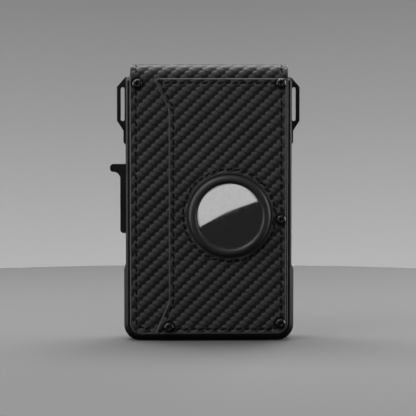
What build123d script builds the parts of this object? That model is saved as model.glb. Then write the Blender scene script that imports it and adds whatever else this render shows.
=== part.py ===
"""Tactical bifold wallet with a money clip, a card bay with a thumb slider, and a round item tracker.

Millimetres. X runs to the right seen from the front, -Y points to the front, Z runs up.
The origin is the middle of the chassis's flat bottom edge.
"""

from build123d import *
import os

# Chassis: a machined tray, closed at the back by the rear plate
chassis_height = 109.2
bumper_half_width = 35.15
side_half_width = 34.25
bumper_top = 29.5
bumper_ramp = 2.1
bottom_corner_radius = 6.6
top_corner_radius = 2.2
edge_chamfer = 1.6
chassis_front = -5.0
chassis_back = 4.6

# Card bay inside the chassis, open at the top
bay_half_width = 27.4
bay_floor = 5.0
bay_front = -1.2

# Rear plate with its two lanyard loops
plate_back = 6.2
plate_half_width = 34.6
plate_shoulder_half_width = 35.5
plate_shoulder_z = 82.0
loop_half_width = 38.15
loop_low_z = 86.9
loop_outer_low_z = 91.0
loop_outer_high_z = 105.2
slot_inner = 35.0
slot_width = 1.6
slot_low_z = 90.9
slot_length = 14.1
plate_chamfer = 0.5
plate_screw_rim = 0.5
plate_socket_depth = 0.7

# Leather cover: front panel, spine over the top and back flap
cover_half_width = 32.6
cover_bottom = 2.6
cover_top = 114.4
cover_corner_radius = 4.7
panel_thickness = 1.45
flap_back = 14.6
flap_thickness = 1.4
bend_radius = 5.0
bend_gap = 0.35
lining_thickness = 0.6
lining_inset = 0.8
inner_pocket_thickness = 0.7
inner_pocket_height = 58.0
thumb_notch_half_width = 11.0
thumb_notch_depth = 5.0
magnet_radius = 5.0
magnet_thickness = 0.9
bend_z = cover_top - bend_radius
panel_front = chassis_front - panel_thickness
front_bend_y = panel_front + bend_radius
back_bend_y = flap_back - bend_radius
lining_back = flap_back - flap_thickness
lining_front = lining_back - lining_thickness
inner_pocket_front = lining_front - inner_pocket_thickness

# Outer pocket sewn on the front panel, open along its left edge
pocket_back = panel_front - 0.1
pocket_thickness = 1.35
pocket_front = pocket_back - pocket_thickness
pocket_right = 31.75
pocket_bottom = 2.9
pocket_top = 108.4
pocket_mouth_x = -16.6
pocket_flare_x = -22.4
pocket_flare_cut = 1.1
pocket_mouth_low_z = 16.5
pocket_mouth_high_z = 95.5
pocket_mouth_radius = 6.0

# Round tracker and the rubber ring that holds it
tracker_x = 8.4
tracker_z = 51.9
tracker_radius = 15.95
tracker_recess_radius = 16.3
tracker_recess_back = -1.8
cover_disc_radius = 13.45
ring_inner_radius = 13.6
ring_bore_radius = 16.1
ring_outer_radius = 17.1
ring_flange_radius = 19.9
ring_crown = 10.4

# Screws: a head, a shank and a socket
screw_head_radius = 2.0
screw_head_height = 1.3
screw_shank_radius = 1.0
screw_hole_radius = 1.05
screw_socket_width = 1.5
screw_socket_depth = 0.8
cover_screw_end = -2.0
plate_screw_end = 2.4
slider_screw_radius = 0.55
slider_screw_head_radius = 1.1

# Thumb slider and the card pusher behind it
slider_low_z = 44.5
slider_high_z = 73.1
slider_outer = 36.7
slider_gap = 0.1
slider_front = -2.6
slider_back = 3.0
slider_corner_radius = 1.4
hook_outer = 40.9
hook_height = 3.2
hook_nose_radius = 1.3
hook_fillet = 2.8
neck_low_z = 47.0
neck_high_z = 70.0
neck_front = -0.85
neck_back = 1.45
slider_up = 8.5
slider_down = 12.6
slot_clearance = 0.15
pusher_outer = 28.4
pusher_thickness = 0.8
pusher_high_z = 66.0
pusher_ledge_z = 18.6
pusher_ledge_end = -8.0
neck_middle = (neck_front + neck_back) / 2

# Spring that presses the cards back, and its two rivets
spring_half_width = 7.0
spring_thickness = 0.25
spring_low_z = 42.0
spring_high_z = 98.0
spring_bow = 0.9
spring_tab_height = 6.5
rivet_radius = 0.8
rivet_hole_radius = 0.83
rivet_head_radius = 1.5
rivet_head_height = 0.4
rivet_front = -3.0

# Money clip: a spring-steel strip folded at its top
clip_half_width = 12.0
clip_thickness = 0.8
clip_bend_z = 99.0
clip_base_low_z = 80.0
clip_arm_front = 10.7
clip_flex_z = 56.0
clip_flex_gap = 0.3
clip_touch_z = 33.5
clip_touch_gap = 0.5
clip_tip_z = 26.0
clip_tip_lift = 0.7
clip_touch_radius = 3.0
clip_tip_radius = 4.0

cover_screw_seats = [
    (-29.5, 106.2, panel_front),
    (29.5, 106.4, pocket_front),
    (29.6, 50.3, pocket_front),
    (-16.6, 5.9, pocket_front),
    (29.5, 7.4, pocket_front),
]
plate_screw_places = [(side * 31.0, z) for side in (-1, 1) for z in (7.5, 54.0, 102.5)]
clip_screw_places = [(-6.5, 87.0), (6.5, 87.0)]
magnet_places = [(-6.0, 78.0), (6.0, 78.0)]
rivet_places = [(-4.0, 101.5), (4.0, 101.5)]
slider_screw_heights = [53.0, 62.0]


def slab(outline, front, back):
    """An XZ outline as a plate between two Y planes."""
    return extrude(Plane.XZ.offset(-back) * outline, amount=back - front, dir=(0, -1, 0))


def rod(x, z, radius, front, back):
    """A round bar along Y."""
    return slab(Pos(x, z) * Circle(radius), front, back)


def block(x_pair, y_pair, z_pair):
    """A box between pairs of X, Y and Z values."""
    lows = [min(pair) for pair in (x_pair, y_pair, z_pair)]
    sizes = [abs(pair[1] - pair[0]) for pair in (x_pair, y_pair, z_pair)]
    return Pos(*lows) * Box(*sizes, align=(Align.MIN, Align.MIN, Align.MIN))


def strip_along_x(profile, half_width):
    """A YZ profile as a strip, centred on X."""
    return extrude(Plane.YZ.offset(-half_width) * profile, amount=2 * half_width)


def symmetric_outline(right_points):
    """A polygon from its right-hand points, listed upwards, and their mirror images."""
    left_points = [(-x, z) for x, z in reversed(right_points)]
    return Polygon(*right_points, *left_points, align=None)


def rounded_bottom(outline, radius):
    """An outline with its two lowest corners rounded."""
    return fillet(outline.vertices().group_by(Axis.Y)[0], radius)


def turned(profile):
    """A profile of (radius, distance forward) turned about the tracker's axis."""
    axis_plane = Plane((tracker_x, 0, tracker_z), x_dir=(1, 0, 0), z_dir=(0, -1, 0))
    return axis_plane * revolve(Plane.XZ * profile, Axis.Z)


def cover_outline(inset=0.0, top=bend_z):
    """The leather cover's front outline, up to the given height."""
    half = cover_half_width - inset
    outline = symmetric_outline([(half, cover_bottom + inset), (half, top)])
    return rounded_bottom(outline, cover_corner_radius - inset)


def bend_sector(centre_y, thickness, start_angle):
    """The leather's quarter bend, as far as 45 degrees from the angle given."""
    outer = CenterArc((centre_y, bend_z), bend_radius, start_angle, 45)
    inner = CenterArc((centre_y, bend_z), bend_radius - thickness, start_angle, 45)
    side_low = Line(outer @ 0, inner @ 0)
    side_high = Line(outer @ 1, inner @ 1)
    return strip_along_x(make_face([outer, inner, side_low, side_high]), cover_half_width)


def screw_holes(seats, radius, front, back):
    """Holes along Y for a list of places that starts with X and Z."""
    return Compound([rod(seat[0], seat[1], radius, front, back) for seat in seats])


def make_chassis_body():
    full = symmetric_outline([(bumper_half_width, 0), (bumper_half_width, chassis_height)])
    full = rounded_bottom(full, bottom_corner_radius)
    full = fillet(full.vertices().group_by(Axis.Y)[-1], top_corner_radius)
    body = slab(full, chassis_front, chassis_back)
    front_edges = body.faces().sort_by(Axis.Y)[0].outer_wire().edges()
    body = chamfer(front_edges, edge_chamfer)
    for side in (-1, 1):
        trim = Polygon(
            (side * bumper_half_width, bumper_top),
            (side * side_half_width, bumper_top + bumper_ramp),
            (side * side_half_width, chassis_height),
            (side * loop_half_width, chassis_height),
            (side * loop_half_width, bumper_top),
            align=None,
        )
        body -= slab(trim, chassis_front, chassis_back)
    body -= block((-bay_half_width, bay_half_width), (bay_front, chassis_back), (bay_floor, chassis_height))
    body -= rod(tracker_x, tracker_z, tracker_recess_radius, chassis_front, tracker_recess_back)
    slot_front = neck_front - slot_clearance
    slot_back = neck_back + slot_clearance
    slot_low = neck_low_z - slider_down - 2 * slot_clearance
    slot_high = neck_high_z + slider_up + 2 * slot_clearance
    body -= block((-bumper_half_width, -bay_half_width), (slot_front, slot_back), (slot_low, slot_high))
    channel_outer = pusher_outer + 2 * slot_clearance
    body -= block((-channel_outer, -bay_half_width), (slot_front, slot_back), (bay_floor, slot_high))
    body -= screw_holes(cover_screw_seats, screw_hole_radius, chassis_front, cover_screw_end)
    body -= screw_holes(plate_screw_places, screw_hole_radius, plate_screw_end, chassis_back)
    body -= screw_holes(rivet_places, rivet_hole_radius, rivet_front, bay_front)
    return body


def make_rear_plate():
    outline = symmetric_outline([
        (bumper_half_width, 0),
        (bumper_half_width, bumper_top),
        (plate_half_width, bumper_top + bumper_ramp),
        (plate_half_width, plate_shoulder_z - 1.0),
        (plate_shoulder_half_width, plate_shoulder_z),
        (plate_shoulder_half_width, loop_low_z),
        (loop_half_width, loop_outer_low_z),
        (loop_half_width, loop_outer_high_z),
        (plate_half_width, chassis_height),
    ])
    outline = rounded_bottom(outline, bottom_corner_radius)
    for side in (-1, 1):
        slot_x = side * (slot_inner + slot_width / 2)
        slot_z = slot_low_z + slot_length / 2
        outline -= Pos(slot_x, slot_z) * SlotOverall(slot_length, slot_width, rotation=90)
    plate = slab(outline, chassis_back, plate_back)
    outer_edges = plate.faces().sort_by(Axis.Y)[-1].outer_wire().edges()
    plate = chamfer(outer_edges, plate_chamfer)
    for x, z in plate_screw_places:
        plate -= countersunk(x, z, screw_head_radius - 0.05, screw_hole_radius, chassis_back)
    plate -= screw_holes(clip_screw_places, screw_hole_radius, chassis_back, plate_back)
    return plate


def countersunk(x, z, head_radius, shank_radius, end):
    """A flat-headed screw's outline solid, flush with the rear plate's back face."""
    head = Cone(shank_radius, head_radius, head_radius - shank_radius, align=(Align.CENTER, Align.CENTER, Align.MAX))
    head = Pos(x, plate_back, z) * Rot(-90, 0, 0) * head
    return head + rod(x, z, shank_radius, end, plate_back - plate_screw_rim)


def make_plate_screws():
    screws = []
    for x, z in plate_screw_places:
        screw = countersunk(x, z, screw_head_radius - 0.1, screw_shank_radius, plate_screw_end + 0.1)
        screw -= slab(Pos(x, z) * RegularPolygon(screw_socket_width / 2, 6), plate_back - plate_socket_depth, plate_back)
        screws.append(screw)
    return screws


def button_screw(x, z, seat, shank_length, facing):
    """A domed socket screw: facing -1 has its head towards the front, +1 towards the back."""
    crown_radius = 0.72 * screw_head_radius
    dome = ThreePointArc(
        (screw_head_radius, 0.25 * screw_head_height),
        (0.93 * screw_head_radius, 0.68 * screw_head_height),
        (crown_radius, screw_head_height),
    )
    outline = dome + Polyline(
        dome @ 1, (0, screw_head_height), (0, -shank_length), (screw_shank_radius, -shank_length),
        (screw_shank_radius, 0), (screw_head_radius, 0), dome @ 0,
    )
    screw = revolve(Plane.XZ * make_face(outline), Axis.Z)
    socket = extrude(RegularPolygon(screw_socket_width / 2, 6), screw_socket_depth)
    screw -= Pos(0, 0, screw_head_height - screw_socket_depth) * socket
    return Plane((x, seat, z), x_dir=(1, 0, 0), z_dir=(0, facing, 0)) * screw


def make_cover_screws():
    return [button_screw(x, z, seat, cover_screw_end - seat - 0.1, -1) for x, z, seat in cover_screw_seats]


def make_leather_front_panel():
    panel = slab(cover_outline(), panel_front, chassis_front)
    panel += bend_sector(front_bend_y, panel_thickness, 135)
    panel -= rod(tracker_x, tracker_z, ring_flange_radius + 0.15, panel_front, chassis_front)
    return panel - screw_holes(cover_screw_seats, screw_hole_radius, panel_front, chassis_front)


def make_pocket_panel():
    outline = Polygon(
        (pocket_flare_x, pocket_bottom),
        (pocket_right, pocket_bottom),
        (pocket_right, pocket_top),
        (pocket_flare_x + pocket_flare_cut, pocket_top),
        (pocket_flare_x, pocket_top - pocket_flare_cut),
        (pocket_mouth_x, pocket_mouth_high_z),
        (pocket_mouth_x, pocket_mouth_low_z),
        align=None,
    )
    right_bottom = outline.vertices().sort_by(Axis.X)[-2:].sort_by(Axis.Y)[0]
    outline = fillet([right_bottom], cover_corner_radius - 0.8)
    mouth_corners = outline.vertices().filter_by(lambda v: abs(v.X - pocket_mouth_x) < 0.01)
    outline = fillet(mouth_corners, pocket_mouth_radius)
    panel = slab(outline, pocket_front, pocket_back)
    panel -= rod(tracker_x, tracker_z, ring_outer_radius + 0.1, pocket_front, pocket_back)
    return panel - screw_holes(cover_screw_seats, screw_hole_radius, pocket_front, pocket_back)


def make_leather_spine():
    return block(
        (-cover_half_width, cover_half_width),
        (front_bend_y + bend_gap, back_bend_y - bend_gap),
        (cover_top - panel_thickness, cover_top),
    )


def make_leather_back_flap():
    flap = slab(cover_outline(), lining_back, flap_back)
    flap += bend_sector(back_bend_y, flap_thickness, 0)
    for x, z in magnet_places:
        flap -= rod(x, z, magnet_radius + 0.1, lining_back, lining_back + magnet_thickness + 0.05)
    return flap


def make_flap_lining():
    return slab(cover_outline(lining_inset, bend_z - 2.0), lining_front, lining_back)


def make_inner_card_pocket():
    top = cover_bottom + inner_pocket_height
    outline = cover_outline(2 * lining_inset, top)
    outline -= Pos(0, top) * Ellipse(thumb_notch_half_width, thumb_notch_depth)
    return slab(outline, inner_pocket_front, lining_front)


def make_flap_magnets():
    return [rod(x, z, magnet_radius, lining_back, lining_back + magnet_thickness) for x, z in magnet_places]


def make_tracker_ring():
    crown = Spline(
        (ring_outer_radius, -pocket_front + 0.05), (16.75, 9.75), (15.45, ring_crown), (14.2, 9.75),
        (ring_inner_radius, 9.0),
    )
    section = crown + Polyline(
        crown @ 1, (ring_inner_radius, 8.85), (15.4, 8.75), (ring_bore_radius, 8.0), (ring_bore_radius, 5.05),
        (ring_flange_radius, 5.05), (ring_flange_radius, 6.4), (ring_outer_radius, 6.4), crown @ 0,
    )
    return turned(make_face(section))


def make_tracker_shell():
    back = Spline((0, 1.85), (9.5, 2.1), (14.6, 3.6), (tracker_radius, 5.8), tangents=[(1, 0), (0, 1)])
    section = back + Polyline(
        back @ 1, (tracker_radius, 7.4), (15.2, 8.4), (13.65, 8.6), (13.65, 5.9), (12.2, 5.9), (12.2, 2.95),
        (0, 2.95), back @ 0,
    )
    return turned(make_face(section))


def make_tracker_board():
    section = make_face(Polyline((6.3, 3.0), (12.0, 3.0), (12.0, 3.7), (6.3, 3.7), close=True))
    return turned(section)


def make_tracker_speaker():
    section = make_face(Polyline((0, 3.0), (5.6, 3.0), (5.6, 4.6), (0, 4.6), close=True))
    return turned(section)


def make_tracker_battery():
    section = make_face(Polyline((0, 5.2), (9.6, 5.2), (10.0, 5.6), (10.0, 8.4), (0, 8.4), close=True))
    return turned(section)


def make_tracker_cover():
    dome = Spline((0, 9.8), (7.0, 9.66), (12.2, 9.2), (13.2, 8.9), tangents=[(1, 0), (1, -1)])
    inside = Spline((0, 9.3), (7.0, 9.16), (12.9, 8.55), tangents=[(1, 0), (1, -0.15)])
    skirt = Polyline(
        dome @ 1, (cover_disc_radius, 8.55), (cover_disc_radius, 6.1), (12.9, 6.1), inside @ 1,
    )
    return turned(make_face(dome + inside + skirt + Line((0, 9.3), (0, 9.8))))


def make_eject_slider():
    inner = side_half_width + slider_gap
    outline = Polygon(
        (-inner, slider_low_z), (-inner, slider_high_z), (-hook_outer, slider_high_z),
        (-hook_outer, slider_high_z - hook_height), (-slider_outer, slider_high_z - hook_height),
        (-slider_outer, slider_low_z), align=None,
    )
    nose = outline.vertices().group_by(Axis.X)[0]
    outline = fillet(nose, hook_nose_radius)
    under_hook = outline.vertices().filter_by(
        lambda v: abs(v.X + slider_outer) < 0.01 and v.Y > neck_high_z - 1.0
    )
    outline = fillet(under_hook, hook_fillet)
    low_corner = outline.vertices().filter_by(
        lambda v: abs(v.X + slider_outer) < 0.01 and abs(v.Y - slider_low_z) < 0.01
    )
    outline = fillet(low_corner, slider_corner_radius)
    slider = slab(outline, slider_front, slider_back)
    slider += block((-inner, -pusher_outer), (neck_front, neck_back), (neck_low_z, neck_high_z))
    for z in slider_screw_heights:
        slider -= cross_rod(z, slider_screw_radius + 0.03, -slider_outer, -pusher_outer)
        slider -= cross_rod(z, slider_screw_head_radius + 0.05, -slider_outer, -slider_outer + 0.8)
    return slider


def cross_rod(z, radius, x_start, x_end):
    """A round bar along X through the slider's neck."""
    return Pos(x_start, neck_middle, z) * Rot(0, 90, 0) * Cylinder(
        radius, x_end - x_start, align=(Align.CENTER, Align.CENTER, Align.MIN)
    )


def make_slider_screws():
    screws = []
    for z in slider_screw_heights:
        screw = cross_rod(z, slider_screw_radius, -slider_outer + 0.7, -pusher_outer + pusher_thickness)
        screws.append(screw + cross_rod(z, slider_screw_head_radius, -slider_outer + 0.1, -slider_outer + 0.75))
    return screws


def make_card_pusher():
    inner = -pusher_outer + pusher_thickness
    arm = block((-pusher_outer, inner), (neck_front, neck_back), (pusher_ledge_z, pusher_high_z))
    ledge = block(
        (-pusher_outer, pusher_ledge_end), (neck_front, neck_back), (pusher_ledge_z, pusher_ledge_z + 1.0)
    )
    ledge += block(
        (-bay_half_width + 0.4, pusher_ledge_end), (bay_front + 0.3, chassis_back - 0.3),
        (pusher_ledge_z, pusher_ledge_z + 1.0),
    )
    pusher = arm + ledge
    for z in slider_screw_heights:
        pusher -= cross_rod(z, slider_screw_radius + 0.03, -pusher_outer, inner)
    return pusher


def make_card_spring():
    wall_side = spring_arc(bay_front + 0.02)
    card_side = spring_arc(bay_front + 0.02 + spring_thickness)
    ends = [Line(wall_side @ 0, card_side @ 0), Line(wall_side @ 1, card_side @ 1)]
    spring = strip_along_x(make_face([wall_side, card_side, *ends]), spring_half_width)
    tab_y = ((wall_side @ 0).X, (card_side @ 0).X)
    spring += block(
        (-spring_half_width, spring_half_width), tab_y, (spring_high_z, spring_high_z + spring_tab_height)
    )
    return spring - screw_holes(rivet_places, rivet_hole_radius, tab_y[0] - 0.1, tab_y[1] + 0.1)


def spring_arc(near_y):
    """One face of the bowed spring, an arc of (Y, Z) points that starts at the given Y."""
    middle_z = (spring_low_z + spring_high_z) / 2
    return ThreePointArc((near_y, spring_high_z), (near_y + spring_bow, middle_z), (near_y, spring_low_z))


def make_card_spring_rivets():
    seat = bay_front + 0.02 + spring_thickness + 0.01
    rivets = []
    for x, z in rivet_places:
        shank = rod(x, z, rivet_radius, rivet_front + 0.1, seat)
        rivets.append(shank + rod(x, z, rivet_head_radius, seat, seat + rivet_head_height))
    return rivets


def make_money_clip():
    base_back = plate_back + clip_thickness
    centre_y = (base_back + clip_arm_front) / 2
    inner_radius = (clip_arm_front - base_back) / 2
    outer_radius = inner_radius + clip_thickness
    arm_back = clip_arm_front + clip_thickness
    inner_arc = CenterArc((centre_y, clip_bend_z), inner_radius, 0, 180)
    outer_arc = CenterArc((centre_y, clip_bend_z), outer_radius, 0, 180)
    arm_end = clip_flex_z + clip_flex_gap
    profile = make_face([
        inner_arc,
        outer_arc,
        Polyline(outer_arc @ 0, (arm_back, arm_end), (clip_arm_front, arm_end), inner_arc @ 0),
        Polyline(outer_arc @ 1, (plate_back, clip_base_low_z), (base_back, clip_base_low_z), inner_arc @ 1),
    ])
    clip = strip_along_x(profile, clip_half_width)
    return clip - screw_holes(clip_screw_places, screw_hole_radius, plate_back, base_back)


def make_money_clip_tongue():
    arm_start = clip_flex_z - clip_flex_gap
    touch_y = plate_back + clip_touch_gap
    tip_y = touch_y + clip_tip_lift
    profile = Polygon(
        (clip_arm_front, arm_start), (touch_y, clip_touch_z), (tip_y, clip_tip_z),
        (tip_y + clip_thickness, clip_tip_z), (touch_y + clip_thickness, clip_touch_z),
        (clip_arm_front + clip_thickness, arm_start), align=None,
    )
    touch_corners = profile.vertices().filter_by(lambda v: abs(v.Y - clip_touch_z) < 0.01)
    tongue = strip_along_x(fillet(touch_corners, clip_touch_radius), clip_half_width)
    tip_edges = tongue.edges().filter_by(Axis.Y).group_by(Axis.Z)[0]
    return fillet(tip_edges, clip_tip_radius)


def make_clip_screws():
    seat = plate_back + clip_thickness
    return [button_screw(x, z, seat, seat - chassis_back - 0.1, 1) for x, z in clip_screw_places]


def write_node(name, shape):
    """One STEP file: a solid, or a group of separate solids."""
    if isinstance(shape, list):
        shape = Compound([solid for item in shape for solid in item.solids()])
    export_step(shape, f"parts/{name}.step")


nodes = {
    "chassis_body": make_chassis_body,
    "rear_plate": make_rear_plate,
    "rear_plate_screws": make_plate_screws,
    "cover_screws": make_cover_screws,
    "leather_front_panel": make_leather_front_panel,
    "pocket_panel": make_pocket_panel,
    "tracker_ring": make_tracker_ring,
    "leather_spine": make_leather_spine,
    "leather_back_flap": make_leather_back_flap,
    "flap_lining": make_flap_lining,
    "inner_card_pocket": make_inner_card_pocket,
    "flap_magnets": make_flap_magnets,
    "money_clip": make_money_clip,
    "money_clip_tongue": make_money_clip_tongue,
    "clip_screws": make_clip_screws,
    "eject_slider": make_eject_slider,
    "card_pusher": make_card_pusher,
    "slider_screws": make_slider_screws,
    "card_spring": make_card_spring,
    "card_spring_rivets": make_card_spring_rivets,
    "tracker_shell": make_tracker_shell,
    "tracker_board": make_tracker_board,
    "tracker_speaker": make_tracker_speaker,
    "tracker_battery": make_tracker_battery,
    "tracker_cover": make_tracker_cover,
}

os.makedirs("parts", exist_ok=True)
for node_name, make in nodes.items():
    write_node(node_name, make())
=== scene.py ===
import bpy, bmesh, math
import numpy as np
from mathutils import Vector, Matrix


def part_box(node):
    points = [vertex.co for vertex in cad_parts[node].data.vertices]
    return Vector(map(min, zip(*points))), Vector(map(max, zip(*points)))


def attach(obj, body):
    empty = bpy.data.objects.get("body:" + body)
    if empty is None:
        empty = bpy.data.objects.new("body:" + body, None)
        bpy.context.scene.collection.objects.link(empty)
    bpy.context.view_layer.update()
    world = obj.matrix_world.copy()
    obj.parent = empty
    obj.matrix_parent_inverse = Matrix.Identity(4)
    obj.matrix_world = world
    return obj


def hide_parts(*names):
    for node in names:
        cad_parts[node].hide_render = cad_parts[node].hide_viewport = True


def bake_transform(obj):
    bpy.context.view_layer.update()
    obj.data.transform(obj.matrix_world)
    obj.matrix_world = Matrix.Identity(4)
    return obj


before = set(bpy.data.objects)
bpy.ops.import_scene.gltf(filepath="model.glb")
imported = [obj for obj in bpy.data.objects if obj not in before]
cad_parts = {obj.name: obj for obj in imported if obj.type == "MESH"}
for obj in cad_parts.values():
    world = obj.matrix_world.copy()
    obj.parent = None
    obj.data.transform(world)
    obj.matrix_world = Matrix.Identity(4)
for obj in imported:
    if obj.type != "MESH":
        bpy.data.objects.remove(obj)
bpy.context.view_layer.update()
mm = 0.001
print("frame loaded:", len(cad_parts), "nodes")


def side(node, corner, axis):
    # one side of a CAD node's box in millimetres, corner 0 low or 1 high
    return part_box(node)[corner][axis] / mm


def linkObject(name, data):
    made = bpy.data.objects.new(name, data)
    bpy.context.scene.collection.objects.link(made)
    return made


def meshObject(name, bm, material):
    mesh = bpy.data.meshes.new(name)
    bm.to_mesh(mesh)
    bm.free()
    mesh.materials.append(material)
    return linkObject(name, mesh)


def finishPiece(name, bm, material, body, replaced=()):
    # bmesh in millimetres -> object at the origin, riding on a body
    bmesh.ops.scale(bm, vec=(mm, mm, mm), verts=bm.verts)
    piece = meshObject(name, bm, material)
    for p in piece.data.polygons:
        p.use_smooth = True
    if body:
        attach(piece, body)
    if replaced:
        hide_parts(*replaced)
    return piece


def spinProfile(bm, points, segments, matrix):
    # points are (radius, height); a full turn about Z, then placed
    verts = [bm.verts.new((r, 0, h)) for r, h in points]
    edges = [bm.edges.new(pair) for pair in zip(verts, verts[1:])]
    if points[0][0] > 0 and points[-1][0] > 0:
        edges.append(bm.edges.new((verts[-1], verts[0])))
    bmesh.ops.spin(bm, geom=verts + edges, axis=(0, 0, 1), cent=(0, 0, 0), angle=math.tau,
                   steps=segments, use_merge=True)
    bmesh.ops.remove_doubles(bm, verts=bm.verts, dist=1e-4)
    bmesh.ops.recalc_face_normals(bm, faces=bm.faces)
    bmesh.ops.transform(bm, matrix=matrix, verts=bm.verts)


def newVerts(made):
    return [g for g in made["geom"] if isinstance(g, bmesh.types.BMVert)]


def facing(x, y, z, towards):
    # a frame whose Z axis points to the front (-1) or the back (+1)
    return Matrix.Translation((x, y, z)) @ Matrix.Rotation(math.radians(-90 * towards), 4, "X")


def roundedCorner(centre, radius, start, end, steps):
    # points on an arc, in degrees
    angles = [math.radians(start + (end - start) * i / steps) for i in range(steps + 1)]
    return [(centre[0] + radius * math.cos(a), centre[1] + radius * math.sin(a)) for a in angles]


def offsetLoop(loop, distance, closed=True):
    # moves a counter-clockwise loop inwards by the distance, mitred at each point
    p = np.array(loop, float)
    back = p - np.roll(p, 1, 0)
    ahead = np.roll(p, -1, 0) - p
    if not closed:
        back[0], ahead[-1] = ahead[0], back[-1]
    back /= np.linalg.norm(back, axis=1)[:, None]
    ahead /= np.linalg.norm(ahead, axis=1)[:, None]
    nBack = np.stack([-back[:, 1], back[:, 0]], 1)
    nAhead = np.stack([-ahead[:, 1], ahead[:, 0]], 1)
    n = nBack + nAhead
    n /= np.linalg.norm(n, axis=1)[:, None]
    reach = distance / np.clip((n * nBack).sum(1), 0.3, 1)
    return [tuple(q) for q in p + n * reach[:, None]]


def filletLoop(corners, radii, steps=6):
    # rounds each corner of a loop with its own radius, 0 keeps it sharp
    loop = []
    count = len(corners)
    for i, (corner, radius) in enumerate(zip(corners, radii)):
        c = Vector(corner)
        a = (Vector(corners[i - 1]) - c).normalized()
        b = (Vector(corners[(i + 1) % count]) - c).normalized()
        half = a.angle(b) / 2
        if radius == 0:
            loop.append(tuple(c))
            continue
        centre = c + (a + b).normalized() * (radius / math.sin(half))
        first = c + a * (radius / math.tan(half)) - centre
        turn = first.angle_signed(c + b * (radius / math.tan(half)) - centre)
        for k in range(steps + 1):
            spoke = first.copy()
            spoke.rotate(Matrix.Rotation(-turn * k / steps, 2))
            loop.append(tuple(centre + spoke))
    return loop


def newMaterial(name, color, roughness, metallic=0.0, coat=0.0, coatRoughness=0.1, specular=0.5):
    mat = bpy.data.materials.new(name)
    mat.use_nodes = True
    shader = mat.node_tree.nodes["Principled BSDF"]
    shader.inputs["Base Color"].default_value = (*color, 1)
    shader.inputs["Roughness"].default_value = roughness
    shader.inputs["Metallic"].default_value = metallic
    shader.inputs["Coat Weight"].default_value = coat
    shader.inputs["Coat Roughness"].default_value = coatRoughness
    shader.inputs["Specular IOR Level"].default_value = specular
    return mat, shader


def addNode(mat, kind, settings=None, **links):
    # settings are sockets' values, links are socket name = (node, output name)
    node = mat.node_tree.nodes.new(kind)
    for key, value in (settings or {}).items():
        if key in node.inputs:
            node.inputs[key].default_value = value
        else:
            setattr(node, key, value)
    for key, (source, output) in links.items():
        plug(mat, source, output, node, key)
    return node


def plug(mat, source, output, node, socket):
    mat.node_tree.links.new(source.outputs[output], node.inputs[socket])


def ramp(mat, source, output, stops):
    node = addNode(mat, "ShaderNodeValToRGB", Fac=(source, output))
    elements = node.color_ramp.elements
    while len(elements) < len(stops):
        elements.new(0.5)
    for element, (position, value) in zip(elements, stops):
        element.position = position
        element.color = (*value, 1) if hasattr(value, "__len__") else (value, value, value, 1)
    return node


def noiseOn(mat, coords, scale, detail, output="Object"):
    return addNode(mat, "ShaderNodeTexNoise", {"Scale": scale, "Detail": detail}, Vector=(coords, output))


def colorBy(mat, shader, source, output, stops):
    plug(mat, ramp(mat, source, output, stops), "Color", shader, "Base Color")


def roughBy(mat, shader, source, output, low, high):
    rough = addNode(mat, "ShaderNodeMapRange", {"To Min": low, "To Max": high}, Value=(source, output))
    plug(mat, rough, "Result", shader, "Roughness")


def bumpBy(mat, shader, source, output, strength, distance):
    bump = addNode(mat, "ShaderNodeBump", {"Strength": strength, "Distance": distance},
                   Height=(source, output))
    plug(mat, bump, "Normal", shader, "Normal")
    return bump


def addShare(mat, source, share, base, output):
    # a share of one pattern added to another value
    node = addNode(mat, "ShaderNodeMath", {"operation": "MULTIPLY_ADD"})
    plug(mat, source, "Fac", node, 0)
    node.inputs[1].default_value = share
    plug(mat, base, output, node, 2)
    return node


def anodisedMetal():
    look = {"dark": (0.003, 0.003, 0.0032), "worn": (0.008, 0.008, 0.0083), "blast": 2600, "blotch": 60,
            "edge": 0.00022}
    mat, shader = newMaterial("anodisedMetal", look["dark"], 0.42, specular=0.14)
    coords = addNode(mat, "ShaderNodeTexCoord")
    blotch = noiseOn(mat, coords, look["blotch"], 4)
    colorBy(mat, shader, blotch, "Fac", [(0.35, look["dark"]), (0.75, look["worn"])])
    roughBy(mat, shader, blotch, "Fac", 0.34, 0.50)
    bump = bumpBy(mat, shader, noiseOn(mat, coords, look["blast"], 2), "Fac", 0.25, 0.00005)
    rounded = addNode(mat, "ShaderNodeBevel", {"Radius": look["edge"], "samples": 6})
    plug(mat, rounded, "Normal", bump, "Normal")
    return mat


def wovenLeather():
    # reliefAndShade is the mesh's own attribute of painted shade, made from the weave's height: 0 in the
    # valleys, painted dark as shade, and about 1 on the floats, painted light as a highlight
    look = {"valleyShade": (0.0015, 0.0015, 0.0015), "body": (0.011, 0.011, 0.0113),
            "crown": (0.052, 0.052, 0.053), "speckled": 1.0, "clouded": 0.25}
    mat, shader = newMaterial("wovenLeather", look["body"], 0.5, specular=0.19)
    reliefAndShade = addNode(mat, "ShaderNodeAttribute", {"attribute_name": "reliefAndShade"})
    coords = addNode(mat, "ShaderNodeUVMap", {"uv_map": "cut"})
    grain = addNode(mat, "ShaderNodeTexVoronoi", {"Scale": 210, "Randomness": 1.0}, Vector=(coords, "UV"))
    grained = addShare(mat, noiseOn(mat, coords, 260, 3, "UV"), look["speckled"], reliefAndShade, "Fac")
    mixed = addShare(mat, noiseOn(mat, coords, 9, 5, "UV"), look["clouded"], grained, "Value")
    lift = 0.5 * (look["speckled"] + look["clouded"])
    ranged = addNode(mat, "ShaderNodeMapRange", {"From Min": lift, "From Max": lift + 1},
                     Value=(mixed, "Value"))
    # painted shade and highlight: the valley colour is painted shade and the crown colour a painted highlight
    colorBy(mat, shader, ranged, "Result",
            [(0.05, look["valleyShade"]), (0.5, look["body"]), (0.97, look["crown"])])
    roughBy(mat, shader, reliefAndShade, "Fac", 0.62, 0.40)
    bumpBy(mat, shader, grain, "Distance", 0.35, 0.00006)
    return mat


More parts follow.
